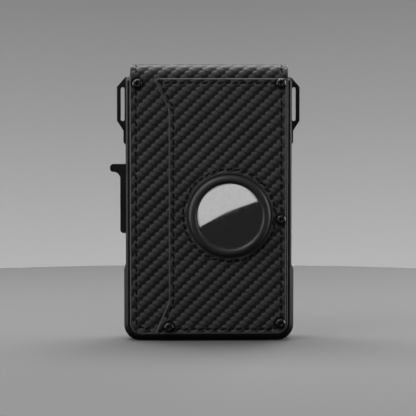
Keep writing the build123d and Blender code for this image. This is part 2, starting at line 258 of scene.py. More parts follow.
def smoothLeather():
    look = {"dark": (0.010, 0.010, 0.011), "light": (0.026, 0.026, 0.027), "pebble": 900}
    mat, shader = newMaterial("liningLeather", look["dark"], 0.62)
    coords = addNode(mat, "ShaderNodeTexCoord")
    pebble = addNode(mat, "ShaderNodeTexVoronoi", {"Scale": look["pebble"]}, Vector=(coords, "Object"))
    cloud = noiseOn(mat, coords, 70, 6)
    colorBy(mat, shader, cloud, "Fac", [(0.3, look["dark"]), (0.75, look["light"])])
    bumpBy(mat, shader, pebble, "Distance", 0.5, 0.0001)
    return mat


def edgePaint():
    mat, shader = newMaterial("leatherEdge", (0.02, 0.02, 0.021), 0.6, specular=0.3)
    streak = noiseOn(mat, addNode(mat, "ShaderNodeTexCoord"), 500, 4)
    colorBy(mat, shader, streak, "Fac", [(0.3, (0.024, 0.024, 0.0245)), (0.8, (0.050, 0.050, 0.051))])
    bumpBy(mat, shader, streak, "Fac", 0.3, 0.00005)
    return mat


def sewingThread():
    mat, shader = newMaterial("sewingThread", (0.003, 0.003, 0.003), 0.85, specular=0.12)
    coords = addNode(mat, "ShaderNodeTexCoord")
    turned = addNode(mat, "ShaderNodeMapping", {"Rotation": (0.5, 0.7, 0.4)}, Vector=(coords, "Object"))
    twist = addNode(mat, "ShaderNodeTexWave", {"Scale": 2200, "Distortion": 1.0}, Vector=(turned, "Vector"))
    colorBy(mat, shader, twist, "Fac", [(0.2, (0.0015, 0.0015, 0.0015)), (0.9, (0.006, 0.006, 0.006))])
    bumpBy(mat, shader, twist, "Fac", 0.6, 0.00006)
    return mat


def ringRubber():
    mat, shader = newMaterial("ringRubber", (0.008, 0.008, 0.0085), 0.48, specular=0.4)
    coords = addNode(mat, "ShaderNodeTexCoord")
    skin = noiseOn(mat, coords, 1400, 3)
    cloud = noiseOn(mat, coords, 90, 4)
    colorBy(mat, shader, cloud, "Fac", [(0.3, (0.006, 0.006, 0.0065)), (0.8, (0.014, 0.014, 0.0145))])
    roughBy(mat, shader, cloud, "Fac", 0.40, 0.56)
    bumpBy(mat, shader, skin, "Fac", 0.15, 0.00004)
    return mat


def cloudedFinish(mat, shader, scale, detail, dark, light, polish):
    # a finish that varies a little in colour and polish from place to place
    cloud = noiseOn(mat, addNode(mat, "ShaderNodeTexCoord"), scale, detail)
    colorBy(mat, shader, cloud, "Fac", [(0.3, dark), (0.8, light)])
    roughBy(mat, shader, cloud, "Fac", *polish)
    return mat


def blackOxide():
    mat, shader = newMaterial("blackOxide", (0.02, 0.02, 0.021), 0.2, coat=0.42, coatRoughness=0.04,
                              specular=0.1)
    return cloudedFinish(mat, shader, 900, 4, (0.003, 0.003, 0.003), (0.010, 0.010, 0.0105), (0.14, 0.3))


def platedMetal():
    mat, shader = newMaterial("nickelPlate", (0.55, 0.55, 0.56), 0.25, metallic=1.0)
    return cloudedFinish(mat, shader, 700, 5, (0.42, 0.42, 0.43), (0.62, 0.62, 0.63), (0.18, 0.36))


def whitePlastic():
    mat, shader = newMaterial("whitePlastic", (0.8, 0.8, 0.8), 0.16, coat=0.4, coatRoughness=0.05)
    return cloudedFinish(mat, shader, 160, 4, (0.74, 0.74, 0.745), (0.83, 0.83, 0.83), (0.12, 0.24))


def springSteel():
    look = {"dark": (0.15, 0.15, 0.155), "light": (0.27, 0.27, 0.275), "stretch": (1, 1, 0.03)}
    mat, shader = newMaterial("springSteel", look["dark"], 0.32, metallic=0.95)
    coords = addNode(mat, "ShaderNodeTexCoord")
    drawn = addNode(mat, "ShaderNodeMapping", {"Scale": look["stretch"]}, Vector=(coords, "Object"))
    brushed = noiseOn(mat, drawn, 4200, 4, "Vector")
    colorBy(mat, shader, brushed, "Fac", [(0.3, look["dark"]), (0.75, look["light"])])
    roughBy(mat, shader, brushed, "Fac", 0.24, 0.42)
    bumpBy(mat, shader, brushed, "Fac", 0.12, 0.00003)
    return mat


def circuitBoard():
    mat, shader = newMaterial("circuitBoard", (0.01, 0.04, 0.03), 0.4)
    coords = addNode(mat, "ShaderNodeTexCoord")
    tracks = addNode(mat, "ShaderNodeTexBrick", {"Scale": 900, "Mortar Size": 0.06},
                     Vector=(coords, "Object"))
    colorBy(mat, shader, tracks, "Fac", [(0.0, (0.01, 0.035, 0.028)), (1.0, (0.03, 0.09, 0.06))])
    bumpBy(mat, shader, tracks, "Fac", 0.3, 0.00004)
    return mat


def polishedSteel():
    # hairline polish with a few handling marks
    mat, shader = newMaterial("polishedSteel", (0.78, 0.78, 0.785), 0.05, metallic=1.0)
    coords = addNode(mat, "ShaderNodeTexCoord")
    marks = addNode(mat, "ShaderNodeTexNoise", {"Scale": 420, "Detail": 6, "Roughness": 0.7},
                    Vector=(coords, "Object"))
    polish = {"From Min": 0.3, "From Max": 0.8, "To Min": 0.02, "To Max": 0.07}
    rough = addNode(mat, "ShaderNodeMapRange", polish, Value=(marks, "Fac"))
    plug(mat, rough, "Result", shader, "Roughness")
    colorBy(mat, shader, marks, "Fac", [(0.3, (0.70, 0.70, 0.705)), (0.8, (0.80, 0.80, 0.805))])
    return mat


metal = anodisedMetal()
leather = wovenLeather()
lining = smoothLeather()
paint = edgePaint()
thread = sewingThread()
rubber = ringRubber()
oxide = blackOxide()
spring = springSteel()
nickel = platedMetal()
plastic = whitePlastic()
board = circuitBoard()
steel = polishedSteel()
print("materials made")


# the woven pressing: lengths in millimetres, the rest shares, slopes and powers
weave = {"rowPitch": 1.664, "repeat": 5.56, "shift": 1.70, "depth": 0.34, "floatStart": 0.2,
         "endRound": 0.95, "flat": 1.0, "fall": 4.2, "least": 0.14, "tall": 0.92,
         "join": 0.42, "joinStart": 0.7, "joinRise": 1.6, "square": 3.4, "soften": 0.45, "lean": 0.12,
         "ribPitch": 0.83, "ribs": 0.10, "ribSlant": 0.22,
         "stretched": 0.4, "pullStart": 2.5, "pullEnd": 5.5, "pullRise": 3, "spineShade": 0.5,
         "spineBlend": 0.6}
cut = {"cell": 0.30, "rim": 0.42, "rimSteps": 3, "tuck": 0.15, "fade": 0.6, "rimShade": 0.82,
       "plainShade": 0.5, "hiddenShade": 0.45, "uvSize": 100}
stitch = {"pitch": 3.15, "share": 0.52, "slant": 0.16, "radius": 0.2, "groove": 0.05, "grooveWidth": 0.8,
          "flatten": 0.6, "seamShade": 0.80, "beside": 1.2, "reach": 2.4, "pit": 0.38, "pitWidth": 0.36,
          "pitShade": 0.95}
pressing = {"fade": 0.5, "shade": 0.85}
bend = {"radius": 5.0}

coverHalf = side("leather_front_panel", 1, 0)
coverBottom = side("leather_front_panel", 0, 2)
coverTop = side("leather_spine", 1, 2)
panelFront = side("leather_front_panel", 0, 1)
panelBack = side("chassis_body", 0, 1)
flapBack = side("leather_back_flap", 1, 1)
bendZ = coverTop - bend["radius"]
arcLength = bend["radius"] * math.pi / 2
spineLength = (flapBack - bend["radius"]) - (panelFront + bend["radius"])
spineStart = bendZ + arcLength
spineMiddle = spineStart + spineLength / 2
flapStart = spineStart + spineLength + arcLength
flapEnd = flapStart + bendZ - coverBottom
coverThickness = panelBack - panelFront
pocketFront = side("pocket_panel", 0, 1)
pocketThickness = side("pocket_panel", 1, 1) - pocketFront


def wrapPoint(x, s, height):
    # x across, s along the strip from the chassis's foot over the spine and down the back
    radius = bend["radius"]
    if s <= bendZ:
        return (x, panelFront - height, s)
    if s < spineStart:
        a = (s - bendZ) / radius
        r = radius + height
        return (x, panelFront + radius - r * math.cos(a), bendZ + r * math.sin(a))
    if s <= spineStart + spineLength:
        return (x, panelFront + radius + s - spineStart, coverTop + height)
    if s < flapStart:
        a = (s - spineStart - spineLength) / radius
        r = radius + height
        return (x, flapBack - radius + r * math.sin(a), bendZ + r * math.cos(a))
    return (x, flapBack + height, bendZ - (s - flapStart))


def smoothStep(t):
    t = np.clip(t, 0, 1)
    return t * t * (3 - 2 * t)


def weaveRelief(x, s):
    # 0 in the valleys and about 1 on the floats, which climb to the right one row at a time;
    # each float has a round left end and sinks slowly towards its right one
    # these values are the height of the pressing and also its painted shade: valleys dark, floats light, and
    # one side of each float a little higher and lighter
    pitch, repeat, shift = weave["rowPitch"], weave["repeat"], weave["shift"]
    row = np.floor(s / pitch)
    best = np.zeros(len(x))
    for up in (-1, 0, 1):
        dz = s - (row + up + 0.5) * pitch
        along = np.mod(x - shift * (row + up) - weave["floatStart"], repeat)
        end = np.clip(along / weave["endRound"], 0, 1)
        joined = weave["join"] * smoothStep((along - weave["joinStart"]) / weave["joinRise"])
        tall = weave["tall"] * np.sqrt(1 - (1 - end) ** 2) + joined
        share = np.abs(dz) / np.maximum(tall, 0.05)
        across = np.clip(1 - share ** weave["square"], 0, 1) ** weave["soften"]
        sink = 1 - (1 - weave["least"]) * smoothStep((along - weave["flat"]) / weave["fall"])
        best = np.maximum(best, across * sink * (1 + weave["lean"] * np.clip(dz / pitch, -1, 1)))
    ribs = 0.5 + 0.5 * np.cos(math.tau * (x - weave["ribSlant"] * s) / weave["ribPitch"])
    return best * (1 - weave["ribs"] * ribs)


def distanceToPath(points, path, closed):
    # shortest distance from each point to a polyline
    a = np.array(path, float)
    b = np.roll(a, -1, 0)
    if not closed:
        a, b = a[:-1], b[:-1]
    best = np.full(len(points), 1e9)
    for start, end in zip(a, b):
        d = end - start
        length = max((d * d).sum(), 1e-9)
        t = np.clip(((points - start) @ d) / length, 0, 1)
        gap = np.linalg.norm(points - start - t[:, None] * d, axis=1)
        best = np.minimum(best, gap)
    return best


def stitchEnds(path, closed, avoid=()):
    # evenly spaced needle holes along a path, as pairs of neighbours
    p = np.array(path + [path[0]] if closed else path, float)
    steps = np.linalg.norm(np.diff(p, axis=0), axis=1)
    run = np.concatenate([[0], np.cumsum(steps)])
    count = max(2, round(run[-1] / stitch["pitch"]))
    marks = np.linspace(0, run[-1], count + 1)
    holes = np.stack([np.interp(marks, run, p[:, 0]), np.interp(marks, run, p[:, 1])], 1)
    pairs = []
    for a, b in zip(holes, holes[1:]):
        middle = (a + b) / 2
        if all(math.hypot(middle[0] - q[0], middle[1] - q[1]) > q[2] for q in avoid):
            along = (b - a) * stitch["share"] / 2
            aside = np.array([-along[1], along[0]]) * stitch["slant"]
            pairs.append((middle - along - aside, middle + along + aside))
    return pairs


def insideLoop(points, loop):
    inside = np.zeros(len(points), bool)
    for a, b in zip(loop, loop[1:] + loop[:1]):
        if a[1] == b[1]:
            continue
        crosses = (points[:, 1] < a[1]) != (points[:, 1] < b[1])
        inside ^= crosses & (points[:, 0] < a[0] + (points[:, 1] - a[1]) * (b[0] - a[0]) / (b[1] - a[1]))
    return inside


def denseLoop(loop, spacing):
    # the same loop with its long straight runs divided
    out = []
    for a, b in zip(loop, loop[1:] + loop[:1]):
        count = max(1, round(math.dist(a, b) / spacing))
        out += [(a[0] + (b[0] - a[0]) * i / count, a[1] + (b[1] - a[1]) * i / count) for i in range(count)]
    return out


def connectedEdges(edges):
    # groups of edges that share vertices, such as the closed loops of a border
    left, groups = dict.fromkeys(edges), []
    while left:
        stack, group = [left.popitem()[0]], []
        while stack:
            edge = stack.pop()
            group.append(edge)
            beside = [e for v in edge.verts for e in v.link_edges if e in left]
            for e in dict.fromkeys(beside):
                del left[e]
                stack.append(e)
        groups.append(group)
    return groups


def allNear(edges, x, s, reach):
    return all(math.hypot(v.co.x - x, v.co.y - s) < reach for e in edges for v in e.verts)


def fillSheet(bm, edges, outline, holes, cell, height):
    # an even grid inside the border, and a narrow band of triangles out to the border's own points
    xs, ss = [q[0] for q in outline], [q[1] for q in outline]
    size = (max(xs) - min(xs), max(ss) - min(ss))
    centre = ((max(xs) + min(xs)) / 2, (max(ss) + min(ss)) / 2, height)
    spread = Matrix.Diagonal((size[0] / 2, size[1] / 2, 1, 1))
    made = bmesh.ops.create_grid(bm, x_segments=round(size[0] / cell), y_segments=round(size[1] / cell),
                                 size=1, matrix=Matrix.Translation(centre) @ spread)
    grid = made["verts"]
    clear = 0.55 * cell
    points = np.array([v.co[:2] for v in grid])
    keep = insideLoop(points, outline) & (distanceToPath(points, outline, True) > clear)
    for x, s, r in holes:
        keep &= np.hypot(points[:, 0] - x, points[:, 1] - s) > r + clear
    bmesh.ops.delete(bm, geom=[v for v, k in zip(grid, keep) if not k], context="VERTS")
    grid = [v for v, k in zip(grid, keep) if k]
    stray = [v for v in grid if not v.link_faces]
    bmesh.ops.delete(bm, geom=stray, context="VERTS")
    grid = [v for v in grid if v.is_valid]
    faces = list(dict.fromkeys(f for v in grid for f in v.link_faces))
    loops = connectedEdges([e for f in faces for e in f.edges if len(e.link_faces) == 1])
    loops += connectedEdges(edges)
    for x, s, r in holes:
        around = [q for q in loops if allNear(q, x, s, r + 2.5 * cell)]
        bmesh.ops.triangle_fill(bm, edges=sum(around, []), use_beauty=True)
        loops = [q for q in loops if q not in around]
    bmesh.ops.triangle_fill(bm, edges=sum(loops, []), use_beauty=True)


def rimDirections(bm, joinS):
    # for each point of the border, the mitred way out of the leather, none across a join
    ways = {}
    for e in bm.edges:
        if not e.is_boundary:
            continue
        a, b = e.verts
        if joinS is not None and abs(a.co.y - joinS) < 1e-3 and abs(b.co.y - joinS) < 1e-3:
            way = Vector((0, 0, 0))
        else:
            along = (b.co - a.co).normalized()
            way = Vector((along.y, -along.x, 0))
            if way.dot(e.link_faces[0].calc_center_median() - a.co) > 0:
                way = -way
        for v in (a, b):
            ways.setdefault(v, []).append(way)
    out = {}
    for v, found in ways.items():
        found = [w for w in found if w.length > 0]
        total = sum(found, Vector((0, 0, 0)))
        if total.length < 1e-6:
            out[v] = Vector((0, 0, 0))
            continue
        total.normalize()
        out[v] = total / max(0.35, total.dot(found[0]))
    return out


def extrudeRim(bm, edges, base, ways, outwards, height):
    # one more loop of the edge's rounding; base and ways are remembered for the next one
    made = bmesh.ops.extrude_edge_only(bm, edges=edges)
    fresh = dict.fromkeys(newVerts(made))
    newBase, newWays = {}, {}
    for v in fresh:
        old = next(e.other_vert(v) for e in v.link_edges if e.other_vert(v) in base)
        newBase[v], newWays[v] = base[old], ways[old]
        v.co = base[old] + ways[old] * outwards
        v.co.z = height
    newEdges = dict.fromkeys(e for v in fresh for e in v.link_edges if all(w in fresh for w in e.verts))
    return list(newEdges), newBase, newWays


def circleLoop(x, s, radius, steps):
    return [(x + radius * math.cos(math.tau * i / steps), s + radius * math.sin(math.tau * i / steps))
            for i in range(steps)]


def keptOnJoin(path, outline, joinS):
    # an offset path whose points beside the join are set back on it
    if joinS is None:
        return path
    return [(q[0], joinS) if abs(o[1] - joinS) < 1e-6 else q for q, o in zip(path, outline)]


def cutPanel(bm, outline, inner, holes, joinS, thickness, cell, backCell):
    # the face, its rounded edge and the back, flat; returns the face's own points
    rim, tuck = cut["rim"], cut["tuck"]
    loops = [denseLoop(inner, cell)]
    loops += [circleLoop(x, s, r + rim, round(math.tau * r / cell)) for x, s, r in holes]
    for loop in loops:
        verts = [bm.verts.new((x, s, 0)) for x, s in loop]
        for i in range(len(verts)):
            bm.edges.new((verts[i - 1], verts[i]))
    fillSheet(bm, bm.edges[:], inner, [(x, s, r + rim) for x, s, r in holes], cell, 0)
    for f in bm.faces:
        if f.normal.z < 0:
            f.normal_flip()
    surface = bm.verts[:]
    ways = rimDirections(bm, joinS)
    base = {v: v.co.copy() for v in ways}
    edges = [e for e in bm.edges if e.is_boundary]
    top = set(bm.faces)
    for i in range(1, cut["rimSteps"] + 1):
        a = math.pi / 2 * i / cut["rimSteps"]
        edges, base, ways = extrudeRim(bm, edges, base, ways, rim * math.sin(a), -rim * (1 - math.cos(a)))
    edges, base, ways = extrudeRim(bm, edges, base, ways, rim, tuck - thickness)
    edges, base, ways = extrudeRim(bm, edges, base, ways, rim - tuck, -thickness)
    edgeFaces = [f for f in bm.faces if f not in top]
    under = keptOnJoin(offsetLoop(outline, tuck), outline, joinS)
    fillSheet(bm, edges, under, [(x, s, r + tuck) for x, s, r in holes], backCell, -thickness)
    for f in bm.faces:
        f.material_index = 2
    for f in top:
        f.material_index = 0
    for f in edgeFaces:
        f.material_index = 1
    bmesh.ops.recalc_face_normals(bm, faces=bm.faces)
    return surface


def pressPanel(points, toEdge, seams, pressed, woven):
    # how far each point of the face is raised, and its painted shade: how light it is painted to look
    fade = smoothStep(toEdge / cut["fade"])
    reliefAndShade = weaveRelief(points[:, 0], points[:, 1]) if woven else np.ones(len(points))
    # the strip is pulled flatter over the spine, and its painted shade is evened out there
    onSpine = smoothStep((points[:, 1] - bendZ - weave["pullStart"]) / weave["pullRise"])
    onSpine *= 1 - smoothStep((points[:, 1] - flapStart + weave["pullEnd"]) / weave["pullRise"])
    depth = (weave["depth"] if woven else 0.0) * (1 - (1 - weave["stretched"]) * onSpine)
    height = depth * (reliefAndShade - 1) * fade
    # painted shade follows the weave's height, and is painted lighter along the cut edge where the weave fades
    # out
    shade = reliefAndShade * fade + cut["rimShade" if woven else "plainShade"] * (1 - fade)
    shade += (weave["spineShade"] - shade) * weave["spineBlend"] * onSpine
    for path, closed, avoid in seams:
        gap = distanceToPath(points, path, closed)
        groove = np.exp(-(gap / stitch["grooveWidth"]) ** 2)
        height = height * (1 - stitch["flatten"] * groove) - stitch["groove"] * groove
        # beside a seam the painted shade is evened out towards a light value
        if woven:
            shade += (stitch["seamShade"] - shade) * stitch["flatten"] * groove
        near = np.flatnonzero(gap < stitch["beside"])
        pit = np.zeros(len(near))
        for a, b in stitchEnds(path, closed, avoid):
            close = np.linalg.norm(points[near] - (a + b) / 2, axis=1) < stitch["reach"]
            away = distanceToPath(points[near[close]], [tuple(a), tuple(b)], False)
            pit[close] = np.maximum(pit[close], np.exp(-(away / stitch["pitWidth"]) ** 4))
        height[near] -= stitch["pit"] * pit
        # each needle hole is painted dark as shade
        shade[near] *= 1 - stitch["pitShade"] * pit
    for x, s, r, sink in pressed:
        dent = 1 - smoothStep((np.hypot(points[:, 0] - x, points[:, 1] - s) - r) / pressing["fade"])
        height -= sink * dent
        # the dent around each screw is painted dark as shade
        shade *= 1 - pressing["shade"] * dent
    return height, shade


def sewnPanel(name, outline, thickness, place, looks, holes=(), seams=(), pressed=(), woven=True,
              joinS=None, cell=cut["cell"], backCell=1.5):
    # outline is counter-clockwise in (across, along); looks are surface, edge and back materials
    bm = bmesh.new()
    paintedShadeLayer = bm.verts.layers.float.new("reliefAndShade")
    uv = bm.loops.layers.uv.new("cut")
    inner = keptOnJoin(offsetLoop(outline, cut["rim"]), outline, joinS)
    surface = cutPanel(bm, outline, inner, holes, joinS, thickness, cell, backCell)

    points = np.array([v.co[:2] for v in surface])
    toEdge = distanceToPath(points, inner, closed=joinS is None)
    for x, s, r in holes:
        toHole = np.hypot(points[:, 0] - x, points[:, 1] - s) - r - cut["rim"]
        toEdge = np.minimum(toEdge, np.abs(toHole))
    height, shade = pressPanel(points, toEdge, seams, pressed, woven)
    # the painted shade is stored in the reliefAndShade attribute: a fixed value everywhere, then the face's
    # own painted shade
    for v in bm.verts:
        v[paintedShadeLayer] = cut["hiddenShade"]
    for v, h, c in zip(surface, height, shade):
        v.co.z += float(h)
        v[paintedShadeLayer] = float(c)
    for f in bm.faces:
        for corner in f.loops:
            corner[uv].uv = corner.vert.co.xy / cut["uvSize"]
    for v in bm.verts:
        v.co = Vector(place(*v.co))
    piece = finishPiece(name, bm, looks[0], None)
    piece.data.materials.append(looks[1])
    piece.data.materials.append(looks[2])
    print(name, "has", len(piece.data.polygons), "faces")
    return piece


def declareSheet(outline, holes=()):
    # works out the size of the flat cut, less its holes, and keeps no result
    ends = zip(outline, outline[1:] + outline[:1])
    area = abs(sum(a[0] * b[1] - b[0] * a[1] for a, b in ends)) / 2
    area -= sum(math.pi * r * r for x, s, r in holes)


def oneStitch(bm, a, b):
    # a short bowed length of thread from one needle hole to the next
    rings = [(-0.52, -0.22, 0.5), (-0.36, 0.04, 0.9), (0.0, 0.10, 1.0), (0.36, 0.04, 0.9), (0.52, -0.22, 0.5)]
    sides = 6
    middle = (a + b) / 2
    length = np.linalg.norm(b - a)
    along = (b - a) / length
    aside = np.array([-along[1], along[0]])
    loops = []
    for share, lift, fat in rings:
        r = stitch["radius"] * fat
        loop = []
        for k in range(sides):
            angle = math.tau * k / sides
            q = middle + along * length * share + aside * r * math.cos(angle)
            h = lift - stitch["pit"] + 0.8 * r * math.sin(angle)
            loop.append(bm.verts.new((q[0], q[1], h)))
        loops.append(loop)
    for one, two in zip(loops, loops[1:]):
        for k in range(sides):
            bm.faces.new((one[k - 1], one[k], two[k], two[k - 1]))
    bm.faces.new(loops[0])
    bm.faces.new(loops[-1][::-1])


def sewnThread(name, seams, place):
    bm = bmesh.new()
    for path, closed, avoid in seams:
        for a, b in stitchEnds(path, closed, avoid):
            oneStitch(bm, a, b)
    bmesh.ops.recalc_face_normals(bm, faces=bm.faces)
    for v in bm.verts:
        v.co = Vector(place(*v.co))
    return finishPiece(name, bm, thread, None)


# across, up, and the face that each screw sits on
screws = [(-29.5, 106.2, panelFront), (29.5, 106.4, pocketFront), (29.6, 50.3, pocketFront),
          (-16.6, 5.9, pocketFront), (29.5, 7.4, pocketFront)]
screwHead = {"radius": 2.0, "height": 1.3, "flat": 0.87, "brim": 0.36, "foot": 0.1, "socket": 0.75,
             "socketDepth": 0.85, "chamfer": 0.12, "lobes": 6, "lobeDepth": 0.17, "shank": 0.98,
             "coverShank": 3.0, "clipShank": 2.0, "settled": 0.08, "clear": 2.6, "press": 2.4, "sink": 0.14}
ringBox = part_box("tracker_ring")
tracker = {"x": (ringBox[0][0] + ringBox[1][0]) / 2 / mm, "z": (ringBox[0][2] + ringBox[1][2]) / 2 / mm}
nearScrews = [(x, z, screwHead["clear"]) for x, z, y in screws]


# the strip's two halves meet in the middle of the spine
cover = {"corner": 4.7, "seam": 2.55, "backThick": 1.4, "flangeHole": 20.05}
corner, coverSeam = cover["corner"], cover["seam"]
wovenLooks = (leather, paint, lining)
frontOutline = ([(-coverHalf, spineMiddle)]
                + roundedCorner((-coverHalf + corner, coverBottom + corner), corner, 180, 270, 8)
                + roundedCorner((coverHalf - corner, coverBottom + corner), corner, 270, 360, 8)
                + [(coverHalf, spineMiddle)])
flapOutline = ([(coverHalf, spineMiddle)]
               + roundedCorner((coverHalf - corner, flapEnd - corner), corner, 0, 90, 8)
               + roundedCorner((-coverHalf + corner, flapEnd - corner), corner, 90, 180, 8)
               + [(-coverHalf, spineMiddle)])


def seamAlong(outline):
    # the stitch line inside an open outline, its two ends kept on the join
    return keptOnJoin(offsetLoop(outline, coverSeam, closed=False), outline, spineMiddle)


# stitches under the pocket are left out
covered = {"left": -22.0, "top": 108.6, "step": 1.5, "reach": 2.0, "corner": 4.0}
hidden = [(x, coverBottom + coverSeam, covered["reach"])
          for x in np.arange(covered["left"], coverHalf, covered["step"])]
hidden += [(coverHalf - coverSeam, z, covered["reach"]) for z in np.arange(4, covered["top"], covered["step"])]
hidden += [(coverHalf - covered["corner"], coverBottom + covered["corner"], covered["corner"])]
frontSeams = [(seamAlong(frontOutline), False, nearScrews[:1] + hidden)]
flapSeams = [(seamAlong(flapOutline), False, [])]
flangeHole = (tracker["x"], tracker["z"], cover["flangeHole"])

coverFront = sewnPanel("coverFront", frontOutline, coverThickness, wrapPoint, wovenLooks,
                       holes=[flangeHole], seams=frontSeams,
                       pressed=[(*screws[0][:2], screwHead["press"], screwHead["sink"])], joinS=spineMiddle)
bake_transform(coverFront)
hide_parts("leather_front_panel", "leather_spine")
coverFrontThread = sewnThread("coverFrontThread", frontSeams, wrapPoint)
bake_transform(coverFrontThread)
declareSheet(frontOutline, [flangeHole])

coverBack = sewnPanel("coverBack", flapOutline, cover["backThick"], wrapPoint, wovenLooks,
                      seams=flapSeams, joinS=spineMiddle)
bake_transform(coverBack)
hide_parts("leather_back_flap")
coverBackThread = sewnThread("coverBackThread", flapSeams, wrapPoint)
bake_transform(coverBackThread)
declareSheet(flapOutline)
print("cover sewn")


pocket = {"mouth": -16.6, "flare": -22.4, "cornerCut": 1.1, "seam": 1.95, "topTurn": 95.5, "lowTurn": 16.5,
          "radii": [0.6, 3.9, 0.6, 0.4, 0.4, 6.0, 6.0], "ringHole": 17.2, "ringSeam": 19.1}
pocketRight = side("pocket_panel", 1, 0)
pocketBottom = side("pocket_panel", 0, 2)
pocketTop = side("pocket_panel", 1, 2)
pocketOutline = filletLoop(
    [(pocket["flare"], pocketBottom), (pocketRight, pocketBottom), (pocketRight, pocketTop),
     (pocket["flare"] + pocket["cornerCut"], pocketTop), (pocket["flare"], pocketTop - pocket["cornerCut"]),
     (pocket["mouth"], pocket["topTurn"]), (pocket["mouth"], pocket["lowTurn"])],
    pocket["radii"])


def onPocket(x, z, height):
    return (x, pocketFront - height, z)


ringHole = (tracker["x"], tracker["z"], pocket["ringHole"])
pocketSeams = [(offsetLoop(pocketOutline, pocket["seam"]), True, nearScrews),
               (circleLoop(tracker["x"], tracker["z"], pocket["ringSeam"], 90), True, nearScrews)]
pocketPanel = sewnPanel("pocketPanel", pocketOutline, pocketThickness, onPocket, wovenLooks,
                        holes=[ringHole], seams=pocketSeams,
                        pressed=[(x, z, screwHead["press"], screwHead["sink"]) for x, z, y in screws[1:]])
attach(pocketPanel, "chassis")
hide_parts("pocket_panel")
pocketThread = sewnThread("pocketThread", pocketSeams, onPocket)
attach(pocketThread, "chassis")
declareSheet(pocketOutline, [ringHole])
print("pocket sewn")


inside = {"corner": 4.0, "topCorner": 0.8, "liningThick": 0.6, "liningSeam": 1.75, "liningCell": 2.0,
          "pocketThick": 0.7, "pocketSeam": 1.6, "pocketCell": 0.8}
notch = {"half": 11.0, "deep": 5.0}
liningLooks = (lining, paint, lining)
liningFront = side("flap_lining", 0, 1)
innerFront = side("inner_card_pocket", 0, 1)


def onFlapInside(front):
    return lambda x, z, height: (x, front - height, z)


def flapSheet(node, notch=None):
    low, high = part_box(node)
    half, bottom, top = high[0] / mm, low[2] / mm, high[2] / mm
    foot, head = inside["corner"], inside["topCorner"]
    outline = roundedCorner((half - foot, bottom + foot), foot, 270, 360, 8)
    outline += roundedCorner((half - head, top - head), head, 0, 90, 4)
    if notch:
        outline += [(notch["half"] * math.cos(a), top - notch["deep"] * math.sin(a))
                    for a in np.linspace(0, math.pi, 25)]
    outline += roundedCorner((-half + head, top - head), head, 90, 180, 4)
    outline += roundedCorner((-half + foot, bottom + foot), foot, 180, 270, 8)
    return outline


liningOutline = flapSheet("flap_lining")
liningSheet = sewnPanel("flapLining", liningOutline, inside["liningThick"], onFlapInside(liningFront),
                        liningLooks, woven=False, cell=inside["liningCell"],
                        seams=[(offsetLoop(liningOutline, inside["liningSeam"]), True, [])])
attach(liningSheet, "flap")
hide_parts("flap_lining")
declareSheet(liningOutline)
innerOutline = flapSheet("inner_card_pocket", notch)
innerSeams = [(offsetLoop(innerOutline, inside["pocketSeam"]), True, [])]
innerPocket = sewnPanel("innerCardPocket", innerOutline, inside["pocketThick"], onFlapInside(innerFront),
                        liningLooks, woven=False, cell=inside["pocketCell"],
                        seams=innerSeams)
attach(innerPocket, "flap")
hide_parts("inner_card_pocket")
innerThread = sewnThread("innerPocketThread", innerSeams, onFlapInside(innerFront))
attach(innerThread, "flap")
declareSheet(innerOutline)
print("flap lined")


def trackerFrame():
    # heights in the profiles run forwards from the frame's origin
    return facing(tracker["x"], 0, tracker["z"], -1)


def quarterTurn(steps):
    return np.linspace(0, math.pi / 2, steps)


def makeRing():
    ring = {"inner": 13.6, "outer": 17.1, "base": 7.85, "crown": 10.38, "crownAt": 14.9, "bore": 16.1,
            "brow": 8.2, "lip": 9.3, "flange": 19.8, "flangeBack": 5.1, "flangeFront": 6.4}
    inner, outer, crown, crownAt = ring["inner"], ring["outer"], ring["crown"], ring["crownAt"]
    brow, lip, bore = ring["brow"], ring["lip"], ring["bore"]
    points = [(outer, ring["base"] - 1.3), (outer, ring["base"])]
    points += [(crownAt + (outer - crownAt) * math.cos(a) ** 0.9, brow + (crown - brow) * math.sin(a))
               for a in quarterTurn(13)[:-1]]
    points += [(crownAt - (crownAt - inner) * math.sin(a), lip + (crown - lip) * math.cos(a))
               for a in quarterTurn(9)]
    points += [(inner + 0.1, 8.85), (15.4, 8.75), (bore, 8.0), (bore, ring["flangeBack"]),
               (ring["flange"], ring["flangeBack"]), (ring["flange"], ring["flangeFront"]),
               (outer, ring["flangeFront"])]
    bm = bmesh.new()
    spinProfile(bm, points, 128, trackerFrame())
    finishPiece("trackerRing", bm, rubber, "chassis", ["tracker_ring"])


def makeTrackerDisc():
    # a polished cap, nearly flat in the middle and rounder towards its rolled rim
    disc = {"radius": 13.45, "flat": 13.0, "crown": 9.8, "drop": 0.62, "bulge": 1.4, "skirt": 6.15,
            "sheet": 0.4}
    radius, half, inside = disc["radius"], disc["bulge"] / 2, disc["radius"] - disc["sheet"]
    points = [(0, disc["crown"])]
    for i in range(1, 25):
        t = i / 24
        fall = disc["drop"] * (t ** 2 + half * t ** 4) / (1 + half)
        points.append((disc["flat"] * t, disc["crown"] - fall))
    # a fine turned line just inside the rolled rim
    last = points[-1][1]
    points += [(13.1, last - 0.05), (13.2, last - 0.02), (13.3, last - 0.08), (13.41, last - 0.2)]
    points += [(radius, last - 0.38), (radius, disc["skirt"]), (inside, disc["skirt"]), (inside, last - 0.6),
               (9.0, 9.1), (0, 9.35)]
    bm = bmesh.new()
    spinProfile(bm, points, 128, trackerFrame())
    finishPiece("trackerDisc", bm, steel, "tracker_lid", ["tracker_cover"])


